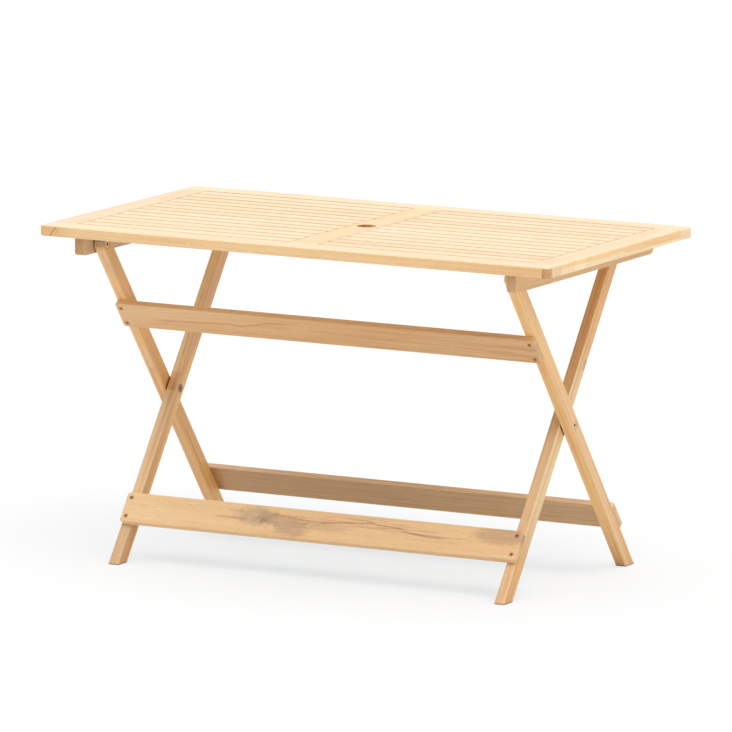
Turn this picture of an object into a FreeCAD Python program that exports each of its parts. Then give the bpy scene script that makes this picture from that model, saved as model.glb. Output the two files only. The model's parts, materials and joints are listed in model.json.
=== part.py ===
import FreeCAD, Part
import math
import os

import Sketcher
from FreeCAD import Placement, Rotation, Vector

# Folding garden table with a slatted top, an umbrella hole and crossed legs, in millimetres.
# +X runs along the table, +Z is up, and people at the front sit on the -Y side. The origin is on
# the floor, under the middle of the top.
#
# The outer legs turn on bolts in two bearers under the top. The inner legs cross them on two more
# bolts and carry a round bar, and that bar seats in two notched catch blocks under the back rail.

doc = FreeCAD.newDocument("FoldingTable")

# ------------------------------------------------------------------------------ driving sizes

sheet = doc.addObject("Spreadsheet::Sheet", "Size")

SIZES = [
    ("table_length", 1200.0, "top, along X"),
    ("table_depth", 700.0, "top, along Y"),
    ("table_height", 730.0, "floor to the top face"),
    ("top_thickness", 22.0, "rails of the top"),
    ("long_rail_width", 60.0, "front and back rails"),
    ("end_rail_width", 60.0, "rails across the two ends"),
    ("centre_rail_width", 65.0, "rail across the middle"),
    ("corner_radius", 12.0, "outer corners of the top, seen from above"),
    ("rim_bevel", 1.6, "outer upper edge of the top"),
    ("rim_bevel_under", 1.2, "outer lower edge of the top"),
    ("umbrella_hole", 40.0, "diameter of the hole for an umbrella pole"),
    ("tenon_length", 30.0, "how far the cross rails enter the long rails"),
    ("tenon_thickness", 8.0, "tenons of the cross rails"),
    ("tenon_shoulder", 10.0, "step beside each tenon"),
    ("slat_width", 40.0, "each slat"),
    ("slat_thickness", 14.0, "each slat"),
    ("slat_bevel", 0.5, "upper long edges of each slat"),
    ("slat_end_gap", 1.5, "shoulder of a slat to the rail beside it"),
    ("tongue_length", 9.0, "tongue on each end of a slat"),
    ("tongue_thickness", 6.0, "tongue on each end of a slat"),
    ("tongue_depth", 4.0, "top face down to the tongue"),
    ("groove_slack", 1.0, "groove beyond the end of a tongue"),
    ("batten_width", 32.0, "batten across the middle of a panel"),
    ("batten_thickness", 12.0, "batten across the middle of a panel"),
    ("bearer_thickness", 20.5, "bearers, along X"),
    ("bearer_height", 38.0, "bearers, along Z"),
    ("bearer_front_inset", 12.0, "front edge of the top to the bearer"),
    ("bearer_back_inset", 20.0, "back edge of the top to the bearer"),
    ("bearer_front_round", 9.0, "lower front corner of a bearer"),
    ("bearer_back_round", 18.0, "lower back corner of a bearer"),
    ("leg_width", 33.0, "all four legs, seen from the side"),
    ("leg_thickness", 24.0, "all four legs, along X"),
    ("leg_edge_bevel", 1.5, "long edges of the legs"),
    ("leg_end_round", 15.0, "corners of the upper leg ends"),
    ("leg_inset", 104.0, "end of the top to the outer face of an outer leg"),
    ("pivot_setback", 70.0, "front edge of the top to the top pivot"),
    ("pivot_drop", 18.0, "underside of the top to the top pivot"),
    ("cross_height", 343.5, "floor to the cross pivot"),
    ("cross_offset", 3.6, "middle of the top back to the cross pivot"),
    ("stretcher_width", 70.0, "stretcher boards, along the legs"),
    ("stretcher_thickness", 14.0, "stretcher boards"),
    ("stretcher_corner", 6.0, "corners of the stretcher boards"),
    ("stretcher_edge_bevel", 2.0, "outer edges of the stretcher boards"),
    ("upper_stretcher_drop", 191.0, "top pivot to the upper stretcher's middle, along the leg"),
    ("front_stretcher_rise", 121.0, "floor to the front stretcher's middle, along the leg"),
    ("back_stretcher_rise", 133.0, "floor to the back stretcher's middle, along the leg"),
    ("bar_diameter", 20.0, "round bar at the top of the inner legs"),
    ("bar_setback", 92.8, "back edge of the top to the bar's middle"),
    ("bar_drop", 23.0, "underside of the top to the bar's middle"),
    ("catch_thickness", 26.0, "catch blocks, along X"),
    ("catch_side_gap", 3.0, "inner leg to catch block"),
    ("catch_height", 38.0, "catch blocks, along Z"),
    ("catch_nose", 30.0, "bar's middle to the front of the catch block"),
    ("catch_back_inset", 20.0, "back edge of the top to the catch block"),
    ("catch_ramp_angle", 35.0, "slope of the way into the notch, in degrees"),
    ("catch_corner", 3.0, "corners of the catch block"),
    ("face_gap", 0.3, "between faces that turn past each other"),
    ("pin_play", 0.06, "radial running clearance of the pivots"),
    ("thread_play", 0.05, "radial clearance of the cross bolts in their sleeves"),
    ("pivot_washer_thickness", 2.6, "between bearer and outer leg"),
    ("cross_washer_thickness", 1.5, "between outer and inner leg"),
    ("washer_diameter", 20.0, "all washers"),
    ("head_diameter", 17.0, "heads of the pivot bolts and sleeves"),
    ("head_thickness", 2.5, "heads of the pivot bolts and sleeves"),
    ("head_sink", 0.3, "how far the heads sit below the wood"),
    ("head_recess", 18.5, "diameter of the recess round a head"),
    ("socket_width", 5.0, "hexagon socket, across the flats"),
    ("socket_depth", 2.0, "hexagon socket"),
    ("pivot_bolt_diameter", 8.0, "top pivot bolts"),
    ("insert_diameter", 11.0, "brass inserts in the bearers"),
    ("insert_length", 13.0, "brass inserts in the bearers"),
    ("sleeve_diameter", 9.5, "cross pivot sleeves"),
    ("cross_bolt_diameter", 6.0, "cross pivot bolts"),
    ("cross_bolt_length", 26.0, "cross pivot bolts, under the head"),
    ("recess_diameter", 7.7, "recess round a screw head in a stretcher"),
    ("recess_depth", 3.0, "recess round a screw head in a stretcher"),
    ("recess_spacing", 44.0, "two screws at each end of a stretcher"),
]
# Slats in each of the two panels.
SLATS_PER_PANEL = 13


class Length:
    """A number together with the sheet expression that it comes from."""

    def __init__(self, value, text):
        self.value = float(value)
        self.text = text

    def __add__(self, other):
        return combine(self, "+", other)

    def __radd__(self, other):
        return combine(other, "+", self)

    def __sub__(self, other):
        return combine(self, "-", other)

    def __rsub__(self, other):
        return combine(other, "-", self)

    def __mul__(self, other):
        return combine(self, "*", other)

    def __rmul__(self, other):
        return combine(other, "*", self)

    def __truediv__(self, other):
        return combine(self, "/", other)

    def __neg__(self):
        return combine(0, "-", self)


def as_length(number):
    """Wraps a plain number, and leaves a Length as it is."""
    if isinstance(number, Length):
        return number
    return Length(number, repr(float(number)))


def combine(left, sign, right):
    """Works out one arithmetic step both as a value and as an expression."""
    left = as_length(left)
    right = as_length(right)
    steps = {
        "+": lambda a, b: a + b,
        "-": lambda a, b: a - b,
        "*": lambda a, b: a * b,
        "/": lambda a, b: a / b,
    }
    return Length(steps[sign](left.value, right.value), "(%s %s %s)" % (left.text, sign, right.text))


def sine(angle):
    angle = as_length(angle)
    return Length(math.sin(math.radians(angle.value)), "sin(%s * 1 deg)" % angle.text)


def cosine(angle):
    angle = as_length(angle)
    return Length(math.cos(math.radians(angle.value)), "cos(%s * 1 deg)" % angle.text)


def tangent(angle):
    return sine(angle) / cosine(angle)


def slope_angle(rise, run):
    """Angle of a slope to the level, in degrees."""
    angle = math.degrees(math.atan(rise.value / run.value))
    return Length(angle, "(atan(%s / %s) / (1 deg))" % (rise.text, run.text))


class Sizes:
    """The driving sizes, one attribute for each row of the sheet."""


size = Sizes()
for row, (alias, number, note) in enumerate(SIZES, start=1):
    sheet.set("A%d" % row, note)
    sheet.set("B%d" % row, str(number))
    sheet.setAlias("B%d" % row, alias)
    setattr(size, alias, Length(number, "Size." + alias))
doc.recompute()


# ------------------------------------------------------------------------------ drawing helpers

nodes = []


def new_body(label):
    """Starts a piece of the table; it is written out under this label."""
    body = doc.addObject("PartDesign::Body", label)
    body.Label = label
    nodes.append(body)
    return body


def place(body, x, y, z, turn=0.0):
    """Puts a piece at x, y, z, turned about X by an angle in degrees."""
    spot = [as_length(number) for number in (x, y, z)]
    turn = as_length(turn)
    body.Placement = Placement(
        Vector(*[number.value for number in spot]), Rotation(Vector(1, 0, 0), turn.value)
    )
    for axis, number in zip("xyz", spot):
        body.setExpression("Placement.Base." + axis, number.text)
    if turn.value:
        body.setExpression("Placement.Rotation.Angle", "%s * 1 deg" % turn.text)


def new_sketch(body, role, offset):
    """A sketch on one of the body's own origin planes, moved along the plane's normal."""
    plane = next(item for item in body.Origin.OriginFeatures if item.Role == role)
    sketch = body.newObject("Sketcher::SketchObject", "Sketch")
    sketch.AttachmentSupport = [(plane, "")]
    sketch.MapMode = "FlatFace"
    offset = as_length(offset)
    sketch.AttachmentOffset = Placement(Vector(0, 0, offset.value), Rotation())
    sketch.setExpression("AttachmentOffset.Base.z", offset.text)
    return sketch


def fix_point(sketch, geometry, vertex, u, v):
    """Dimensions one point from the sketch's origin, both ways."""
    for kind, number in (("DistanceX", as_length(u)), ("DistanceY", as_length(v))):
        index = sketch.addConstraint(
            Sketcher.Constraint(kind, -1, 1, geometry, vertex, number.value)
        )
        sketch.setExpression("Constraints[%d]" % index, number.text)


def draw_polygon(sketch, points):
    """A closed outline with a dimensioned point at every corner."""
    corners = [(as_length(u), as_length(v)) for u, v in points]
    lines = []
    for start, end in zip(corners, corners[1:] + corners[:1]):
        line = Part.LineSegment(
            Vector(start[0].value, start[1].value, 0), Vector(end[0].value, end[1].value, 0)
        )
        lines.append(sketch.addGeometry(line, False))
    for line, following in zip(lines, lines[1:] + lines[:1]):
        sketch.addConstraint(Sketcher.Constraint("Coincident", line, 2, following, 1))
    for line, (u, v) in zip(lines, corners):
        fix_point(sketch, line, 1, u, v)


def draw_rectangle(sketch, u0, u1, v0, v1):
    draw_polygon(sketch, [(u0, v0), (u1, v0), (u1, v1), (u0, v1)])


def draw_circle(sketch, u, v, diameter):
    u, v, diameter = as_length(u), as_length(v), as_length(diameter)
    circle = Part.Circle(Vector(u.value, v.value, 0), Vector(0, 0, 1), diameter.value / 2)
    geometry = sketch.addGeometry(circle, False)
    index = sketch.addConstraint(Sketcher.Constraint("Diameter", geometry, diameter.value))
    sketch.setExpression("Constraints[%d]" % index, diameter.text)
    fix_point(sketch, geometry, 3, u, v)


def pad(body, sketch, length):
    """Adds material from the sketch along the plane's normal."""
    feature = body.newObject("PartDesign::Pad", "Pad")
    feature.Profile = sketch
    feature.Length = as_length(length).value
    feature.setExpression("Length", as_length(length).text)


def pocket(body, sketch, depth):
    """Cuts from the sketch along the plane's normal."""
    feature = body.newObject("PartDesign::Pocket", "Pocket")
    feature.Profile = sketch
    feature.Reversed = True
    feature.Length = as_length(depth).value
    feature.setExpression("Length", as_length(depth).text)


def add_block(body, x, y, z):
    """A rectangular block between pairs of limits along X, Y and Z."""
    sketch = new_sketch(body, "XY_Plane", z[0])
    draw_rectangle(sketch, x[0], x[1], y[0], y[1])
    pad(body, sketch, z[1] - z[0])


def cut_block(body, x, y, z):
    """A rectangular recess between pairs of limits along X, Y and Z."""
    sketch = new_sketch(body, "XY_Plane", z[0])
    draw_rectangle(sketch, x[0], x[1], y[0], y[1])
    pocket(body, sketch, z[1] - z[0])


def add_disc(body, y, z, x, diameter):
    """A round pad about a line along X, between a pair of limits."""
    sketch = new_sketch(body, "YZ_Plane", x[0])
    draw_circle(sketch, y, z, diameter)
    pad(body, sketch, x[1] - x[0])


def bore_along_x(body, y, z, x, diameter):
    sketch = new_sketch(body, "YZ_Plane", x[0])
    draw_circle(sketch, y, z, diameter)
    pocket(body, sketch, x[1] - x[0])


def bore_along_z(body, spots, z, diameter):
    """Equal round holes at x, y spots, between a pair of limits along Z."""
    sketch = new_sketch(body, "XY_Plane", z[0])
    for x, y in spots:
        draw_circle(sketch, x, y, diameter)
    pocket(body, sketch, z[1] - z[0])


def dress_edges(body, kind, sizing, amount, chosen):
    """Fillets or chamfers the edges that the test picks, given each edge's bounds."""
    doc.recompute()
    base = body.Tip
    names = []
    for number, edge in enumerate(base.Shape.Edges, start=1):
        if chosen(edge.BoundBox):
            names.append("Edge%d" % number)
    feature = body.newObject("PartDesign::" + kind, kind)
    feature.Base = (base, names)
    setattr(feature, sizing, amount.value)
    feature.setExpression(sizing, amount.text)


def round_edges(body, radius, chosen):
    dress_edges(body, "Fillet", "Radius", radius, chosen)


def bevel_edges(body, width, chosen):
    dress_edges(body, "Chamfer", "Size", width, chosen)


NEAR = 0.01


def at(number, target):
    return abs(number - target) < NEAR


def sided(side, low, high):
    """A pair of limits along X, mirrored to -X for the left side."""
    if side > 0:
        return (as_length(low), as_length(high))
    return (-as_length(high), -as_length(low))


SIDES = (("left", -1), ("right", 1))

# ------------------------------------------------------------------------------ layout

half_length = size.table_length / 2
half_depth = size.table_depth / 2
panel_front = half_depth - size.long_rail_width
panel_end = half_length - size.end_rail_width
half_centre = size.centre_rail_width / 2

# Heights of the top's own pieces are measured down from the top face.
underside = -size.top_thickness
bearer_bottom = underside - size.bearer_height

# Legs, bearers and catch blocks, along X, as distances from the middle.
outer_leg_out = half_length - size.leg_inset
outer_leg_in = outer_leg_out - size.leg_thickness
leg_gap = size.cross_washer_thickness + size.face_gap
inner_leg_out = outer_leg_in - leg_gap
inner_leg_in = inner_leg_out - size.leg_thickness
bearer_gap = size.pivot_washer_thickness + size.face_gap
bearer_in = outer_leg_out + bearer_gap
bearer_out = bearer_in + size.bearer_thickness
catch_out = inner_leg_in - size.catch_side_gap
catch_in = catch_out - size.catch_thickness

# The pivots, seen from the side.
pivot_y = size.pivot_setback - half_depth
pivot_z = size.table_height + underside - size.pivot_drop
cross_y = size.cross_offset
bar_y = half_depth - size.bar_setback
bar_z = size.table_height + underside - size.bar_drop

# Both legs lean as the line from the cross pivot to the pin at their upper end.
outer_leg_angle = slope_angle(pivot_z - size.cross_height, cross_y - pivot_y)
inner_leg_angle = slope_angle(bar_z - size.cross_height, bar_y - cross_y)

# Along each leg, measured from the cross pivot.
pivot_reach = (pivot_z - size.cross_height) / sine(outer_leg_angle)
bar_reach = (bar_z - size.cross_height) / sine(inner_leg_angle)
outer_foot_reach = size.cross_height / sine(outer_leg_angle)
inner_foot_reach = size.cross_height / sine(inner_leg_angle)
half_leg = size.leg_width / 2

# Recess for a bolt or sleeve head, and the bores that run on the pins.
head_recess_depth = size.head_thickness + size.head_sink + size.face_gap
pivot_bore = size.pivot_bolt_diameter + 2 * size.pin_play
cross_bore = size.sleeve_diameter + 2 * size.pin_play

# ------------------------------------------------------------------------------ the top's frame

ON_TOP = (0, 0, size.table_height)


def make_long_rail(label, side):
    """Full-length front or back rail: rounded outer corners, and mortises in its inner edge."""
    body = new_body(label)
    outer = side * half_depth
    inner = side * panel_front
    low, high = sorted((outer, inner), key=lambda number: number.value)
    add_block(body, (-half_length, half_length), (low, high), (underside, as_length(0)))
    mortise = sorted((inner, inner + side * size.tenon_length), key=lambda number: number.value)
    middle = underside / 2
    thickness = (middle - size.tenon_thickness / 2, middle + size.tenon_thickness / 2)
    spans = (
        (-half_length + size.tenon_shoulder, -panel_end - size.tenon_shoulder),
        (-half_centre + size.tenon_shoulder, half_centre - size.tenon_shoulder),
        (panel_end + size.tenon_shoulder, half_length - size.tenon_shoulder),
    )
    for span in spans:
        cut_block(body, span, mortise, thickness)
    outer_y = outer.value
    round_edges(
        body,
        size.corner_radius,
        lambda box: box.ZLength > size.top_thickness.value / 2
        and at(box.YMin, outer_y)
        and at(box.YMax, outer_y),
    )
    inner_y = inner.value

    def on_rim(height):
        return (
            lambda box: at(box.ZMin, height)
            and at(box.ZMax, height)
            and not (at(box.YMin, inner_y) and at(box.YMax, inner_y))
            and (
                at(abs(box.XMin), half_length.value)
                or at(abs(box.XMax), half_length.value)
                or at(box.YMin, outer_y)
                or at(box.YMax, outer_y)
            )
        )

    bevel_edges(body, size.rim_bevel, on_rim(0.0))
    bevel_edges(body, size.rim_bevel_under, on_rim(underside.value))
    place(body, *ON_TOP)
    return body


def make_cross_rail(label, x, grooved):
    """Rail between the long rails, with a tenon on each end and a groove for the slats."""
    body = new_body(label)
    add_block(body, x, (-panel_front, panel_front), (underside, as_length(0)))
    middle = underside / 2
    thickness = (middle - size.tenon_thickness / 2, middle + size.tenon_thickness / 2)
    tenon_x = (x[0] + size.tenon_shoulder, x[1] - size.tenon_shoulder)
    reach = panel_front + size.tenon_length
    add_block(body, tenon_x, (-reach, reach), thickness)
    groove_z = (-(size.tongue_depth + size.tongue_thickness), -size.tongue_depth)
    groove_depth = size.tongue_length + size.groove_slack
    for edge, direction in grooved:
        groove = sorted((edge, edge - direction * groove_depth), key=lambda number: number.value)
        cut_block(body, groove, (-panel_front, panel_front), groove_z)
    return body


def ease_end(body, x):
    """Bevels the upper and lower outer edges of an end rail."""

    def on_edge(height):
        return (
            lambda box: at(box.XMin, x)
            and at(box.XMax, x)
            and at(box.ZMin, height)
            and at(box.ZMax, height)
        )

    bevel_edges(body, size.rim_bevel, on_edge(0.0))
    bevel_edges(body, size.rim_bevel_under, on_edge(underside.value))


make_long_rail("front_rail", -1)
make_long_rail("back_rail", 1)

for name, side in SIDES:
    rail_x = sided(side, panel_end, half_length)
    end_rail = make_cross_rail(name + "_end_rail", rail_x, [(side * panel_end, -side)])
    ease_end(end_rail, side * half_length.value)
    place(end_rail, *ON_TOP)

centre_rail = make_cross_rail(
    "centre_rail",
    (-half_centre, half_centre),
    [(-half_centre, -1), (half_centre, 1)],
)
bore_along_z(centre_rail, [(0, 0)], (underside, as_length(0)), size.umbrella_hole)
place(centre_rail, *ON_TOP)

# ------------------------------------------------------------------------------ slats and battens

panel_depth = 2 * panel_front
slat_gap = (panel_depth - SLATS_PER_PANEL * size.slat_width) / (SLATS_PER_PANEL + 1)
slat_under = -size.slat_thickness
batten_bottom = slat_under - size.batten_thickness
batten_middle = (panel_end + half_centre) / 2
shoulders = (half_centre + size.slat_end_gap, panel_end - size.slat_end_gap)


def slat_front(index):
    """Front edge of a slat, counted from the front of the table."""
    return -panel_front + slat_gap + index * (size.slat_width + slat_gap)


def make_slat(label, side, index):
    """Slat between the centre rail and an end rail, with a tongue on each end."""
    body = new_body(label)
    front = slat_front(index)
    back = front + size.slat_width
    add_block(body, sided(side, *shoulders), (front, back), (slat_under, as_length(0)))
    tongue_x = sided(side, half_centre - size.tongue_length, panel_end + size.tongue_length)
    tongue_z = (-(size.tongue_depth + size.tongue_thickness), -size.tongue_depth)
    add_block(body, tongue_x, (front, back), tongue_z)
    bevel_edges(
        body,
        size.slat_bevel,
        lambda box: box.YLength < NEAR and at(box.ZMin, 0.0) and at(box.ZMax, 0.0),
    )
    place(body, *ON_TOP)


def make_batten(label, side):
    """Batten under the middle of a panel, which the slats are screwed to."""
    body = new_body(label)
    middle = side * batten_middle
    x = (middle - size.batten_width / 2, middle + size.batten_width / 2)
    add_block(body, x, (-panel_front, panel_front), (batten_bottom, slat_under))
    place(body, *ON_TOP)


for name, side in SIDES:
    for index in range(SLATS_PER_PANEL):
        make_slat("%s_slat_%02d" % (name, index + 1), side, index)
    make_batten(name + "_batten", side)

# ------------------------------------------------------------------------------ bearers

pivot_below_top = underside - size.pivot_drop
bearer_front = -half_depth + size.bearer_front_inset
bearer_back = half_depth - size.bearer_back_inset


def make_bearer(label, side):
    """Bearer along Y under the top; the outer leg turns against its inner face."""
    body = new_body(label)
    sketch = new_sketch(body, "YZ_Plane", sided(side, bearer_in, bearer_out)[0])
    draw_rectangle(sketch, bearer_front, bearer_back, bearer_bottom, underside)
    pad(body, sketch, size.bearer_thickness)
    bottom = bearer_bottom.value
    for y, radius in (
        (bearer_front.value, size.bearer_front_round),
        (bearer_back.value, size.bearer_back_round),
    ):
        round_edges(
            body,
            radius,
            lambda box: box.XLength > size.bearer_thickness.value / 2
            and at(box.YMin, y)
            and at(box.YMax, y)
            and at(box.ZMin, bottom),
        )
    insert_x = sided(side, bearer_in, bearer_in + size.insert_length)
    bore_along_x(body, pivot_y, pivot_below_top, insert_x, size.insert_diameter)
    place(body, *ON_TOP)


for name, side in SIDES:
    make_bearer(name + "_bearer", side)

# ------------------------------------------------------------------------------ catch blocks

notch_radius = size.bar_diameter / 2 + size.face_gap
bar_below_top = bar_z - size.table_height
catch_bottom = underside - size.catch_height
catch_back = half_depth - size.catch_back_inset


def make_catch_block(label, side):
    """Block with a notch: a roof over the bar, a wall behind it and a sloping way in."""
    body = new_body(label)
    start = sided(side, catch_in, catch_out)[0]
    nose_y = bar_y - size.catch_nose
    ramp_top_y = bar_y - notch_radius * sine(size.catch_ramp_angle)
    ramp_top_z = bar_below_top + notch_radius * cosine(size.catch_ramp_angle)
    fall = (ramp_top_y - nose_y) * tangent(size.catch_ramp_angle)
    wall_y = bar_y + notch_radius
    outline = new_sketch(body, "YZ_Plane", start)
    draw_polygon(
        outline,
        [
            (nose_y, underside),
            (nose_y, ramp_top_z - fall),
            (ramp_top_y, ramp_top_z),
            (bar_y, bar_below_top),
            (wall_y, bar_below_top),
            (wall_y, catch_bottom),
            (catch_back, catch_bottom),
            (catch_back, underside),
        ],
    )
    pad(body, outline, size.catch_thickness)
    bore_along_x(
        body, bar_y, bar_below_top, sided(side, catch_in, catch_out), 2 * notch_radius
    )
    bottom = catch_bottom.value
    back = catch_back.value
    round_edges(
        body,
        size.catch_corner,
        lambda box: box.XLength > size.catch_thickness.value / 2
        and at(box.ZMin, bottom)
        and at(box.ZMax, bottom)
        and (at(box.YMin, back) or at(box.YMax, wall_y.value)),
    )
    place(body, *ON_TOP)


for name, side in SIDES:
    make_catch_block(name + "_catch_block", side)

# ------------------------------------------------------------------------------ legs

# A leg is drawn lying along Y with the cross pivot at its origin and its front face at +Z, and is
# then turned about X to its angle.
outer_turn = 180 - outer_leg_angle
inner_turn = inner_leg_angle


def on_leg(body, turn):
    place(body, 0, cross_y, size.cross_height, turn)


def foot_y(turn, z):
    """Where a long edge of a leg, at height z in the leg's own frame, meets the floor."""
    return -(size.cross_height + z * cosine(turn)) / sine(turn)


def make_leg(label, x, turn, top_reach):
    """Leg board with a rounded upper end and a foot cut level with the floor."""
    body = new_body(label)
    sketch = new_sketch(body, "YZ_Plane", x[0])
    top = top_reach + half_leg
    draw_polygon(
        sketch,
        [
            (foot_y(turn, -half_leg), -half_leg),
            (top, -half_leg),
            (top, half_leg),
            (foot_y(turn, half_leg), half_leg),
        ],
    )
    pad(body, sketch, size.leg_thickness)
    top_value = top.value
    round_edges(
        body,
        size.leg_end_round,
        lambda box: box.XLength > size.leg_thickness.value / 2 and at(box.YMin, top_value),
    )
    straight = top_reach.value
    bevel_edges(
        body,
        size.leg_edge_bevel,
        lambda box: box.XLength < NEAR and box.YLength > straight,
    )
    return body


for name, side in SIDES:
    leg_x = sided(side, outer_leg_in, outer_leg_out)
    leg = make_leg(name + "_outer_leg", leg_x, outer_turn, pivot_reach)
    bore_along_x(leg, pivot_reach, 0, leg_x, pivot_bore)
    bore_along_x(
        leg,
        pivot_reach,
        0,
        sided(side, outer_leg_in, outer_leg_in + head_recess_depth),
        size.head_recess,
    )
    bore_along_x(leg, 0, 0, leg_x, cross_bore)
    bore_along_x(
        leg, 0, 0, sided(side, outer_leg_out - head_recess_depth, outer_leg_out), size.head_recess
    )
    on_leg(leg, outer_turn)

for name, side in SIDES:
    leg_x = sided(side, inner_leg_in, inner_leg_out)
    leg = make_leg(name + "_inner_leg", leg_x, inner_turn, bar_reach)
    bore_along_x(leg, bar_reach, 0, leg_x, size.bar_diameter)
    bore_along_x(leg, 0, 0, leg_x, cross_bore)
    bore_along_x(
        leg, 0, 0, sided(side, inner_leg_in, inner_leg_in + head_recess_depth), size.head_recess
    )
    on_leg(leg, inner_turn)

# ------------------------------------------------------------------------------ stretchers and bar


def make_stretcher(label, half_span, board_middle, face, turn):
    """Board across two legs, on their front (+1) or back (-1) faces, screwed at both ends."""
    body = new_body(label)
    inner_face = face * half_leg
    outer_face = face * (half_leg + size.stretcher_thickness)
    z = sorted((inner_face, outer_face), key=lambda number: number.value)
    half_width = size.stretcher_width / 2
    y = (board_middle - half_width, board_middle + half_width)
    add_block(body, (-half_span, half_span), y, z)
    half_thick = size.stretcher_thickness.value / 2
    round_edges(body, size.stretcher_corner, lambda box: box.ZLength > half_thick)
    outer_value = outer_face.value
    bevel_edges(
        body,
        size.stretcher_edge_bevel,
        lambda box: at(box.ZMin, outer_value) and at(box.ZMax, outer_value),
    )
    screw_x = half_span - size.leg_thickness / 2
    half_spacing = size.recess_spacing / 2
    spots = [(end * screw_x, board_middle + step * half_spacing) for end, step in CORNERS]
    recess_z = sorted(
        (outer_face - face * size.recess_depth, outer_face), key=lambda number: number.value
    )
    bore_along_z(body, spots, recess_z, size.recess_diameter)
    on_leg(body, turn)


CORNERS = ((-1, -1), (-1, 1), (1, -1), (1, 1))
upper_board = pivot_reach - size.upper_stretcher_drop
back_board = size.back_stretcher_rise - outer_foot_reach
front_board = size.front_stretcher_rise - inner_foot_reach
make_stretcher("upper_stretcher", outer_leg_out, upper_board, 1, outer_turn)
make_stretcher("back_stretcher", outer_leg_out, back_board, -1, outer_turn)
make_stretcher("front_stretcher", inner_leg_out, front_board, 1, inner_turn)

catch_bar = new_body("catch_bar")
add_disc(catch_bar, bar_reach, 0, (-inner_leg_out, inner_leg_out), size.bar_diameter)
on_leg(catch_bar, inner_turn)

# ------------------------------------------------------------------------------ pivot hardware


def cut_socket(body, y, z, x):
    """Hexagon socket in a bolt head, between a pair of limits along X."""
    sketch = new_sketch(body, "YZ_Plane", x[0])
    corner = size.socket_width / math.sqrt(3)
    points = []
    for number in range(6):
        angle = math.radians(60 * number)
        points.append((y + corner * math.cos(angle), z + corner * math.sin(angle)))
    draw_polygon(sketch, points)
    pocket(body, sketch, x[1] - x[0])


def make_pivot_bolt(label, side):
    """Bolt through the outer leg into the bearer, with its head sunk in the leg's inner face."""
    body = new_body(label)
    head_low = outer_leg_in + size.head_sink
    head_high = head_low + size.head_thickness
    tip = bearer_in + size.insert_length
    y, z = pivot_y, pivot_below_top
    add_disc(body, y, z, sided(side, head_low, head_high), size.head_diameter)
    add_disc(body, y, z, sided(side, head_high, tip), size.pivot_bolt_diameter)
    cut_socket(body, y, z, sided(side, head_low, head_low + size.socket_depth))
    place(body, *ON_TOP)


def make_ring(label, y, z, x, outside, inside):
    """Round ring about a line along X: a washer, an insert or a sleeve."""
    body = doc.addObject("PartDesign::Body", label)
    body.Label = label
    add_disc(body, y, z, x, outside)
    bore_along_x(body, y, z, x, inside)
    return body


def group(label, pieces):
    """One node for a left and right pair of equal small pieces."""
    pair = doc.addObject("Part::Compound", label)
    pair.Label = label
    pair.Links = pieces
    nodes.append(pair)


for name, side in SIDES:
    make_pivot_bolt(name + "_pivot_bolt", side)

inserts = []
pivot_washers = []
cross_washers = []
for name, side in SIDES:
    insert = make_ring(
        name + "_insert",
        pivot_y,
        pivot_below_top,
        sided(side, bearer_in, bearer_in + size.insert_length),
        size.insert_diameter,
        size.pivot_bolt_diameter,
    )
    place(insert, *ON_TOP)
    inserts.append(insert)
    washer = make_ring(
        name + "_pivot_washer",
        pivot_y,
        pivot_below_top,
        sided(side, bearer_in - size.pivot_washer_thickness, bearer_in),
        size.washer_diameter,
        pivot_bore,
    )
    place(washer, *ON_TOP)
    pivot_washers.append(washer)
    washer = make_ring(
        name + "_cross_washer",
        0,
        0,
        sided(side, outer_leg_in - size.cross_washer_thickness, outer_leg_in),
        size.washer_diameter,
        cross_bore,
    )
    on_leg(washer, outer_turn)
    cross_washers.append(washer)
group("pivot_inserts", inserts)
group("pivot_washers", pivot_washers)
group("cross_washers", cross_washers)

sleeves = []
cross_bolts = []
sleeve_end = outer_leg_out - head_recess_depth
for name, side in SIDES:
    body = doc.addObject("PartDesign::Body", name + "_cross_sleeve")
    head_low = inner_leg_in + size.head_sink
    head_high = head_low + size.head_thickness
    add_disc(body, 0, 0, sided(side, head_low, head_high), size.head_diameter)
    add_disc(body, 0, 0, sided(side, head_high, sleeve_end), size.sleeve_diameter)
    bolt_room = sided(side, sleeve_end - size.cross_bolt_length - size.face_gap, sleeve_end)
    bore_along_x(body, 0, 0, bolt_room, size.cross_bolt_diameter + 2 * size.thread_play)
    cut_socket(body, 0, 0, sided(side, head_low, head_low + size.socket_depth))
    on_leg(body, outer_turn)
    sleeves.append(body)

    body = doc.addObject("PartDesign::Body", name + "_cross_bolt")
    add_disc(
        body, 0, 0, sided(side, sleeve_end, sleeve_end + size.head_thickness), size.head_diameter
    )
    shank_x = sided(side, sleeve_end - size.cross_bolt_length, sleeve_end)
    add_disc(body, 0, 0, shank_x, size.cross_bolt_diameter)
    face_x = sleeve_end + size.head_thickness
    cut_socket(body, 0, 0, sided(side, face_x - size.socket_depth, face_x))
    on_leg(body, outer_turn)
    cross_bolts.append(body)
group("cross_sleeves", sleeves)
group("cross_bolts", cross_bolts)

# ------------------------------------------------------------------------------ checks and output

doc.recompute()
for item in doc.Objects:
    if "Invalid" in item.State or "Error" in item.State:
        raise RuntimeError("%s failed: %s" % (item.Label, item.State))
for node in nodes:
    if node.Shape.isNull() or not node.Shape.isValid():
        raise RuntimeError("%s has no valid shape" % node.Label)

os.makedirs("parts", exist_ok=True)
for node in nodes:
    node.Shape.exportStep("parts/%s.step" % node.Label)
print("%d nodes" % len(nodes))
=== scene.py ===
import json
import math

import bmesh
import bpy
from mathutils import Matrix, Vector


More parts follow.
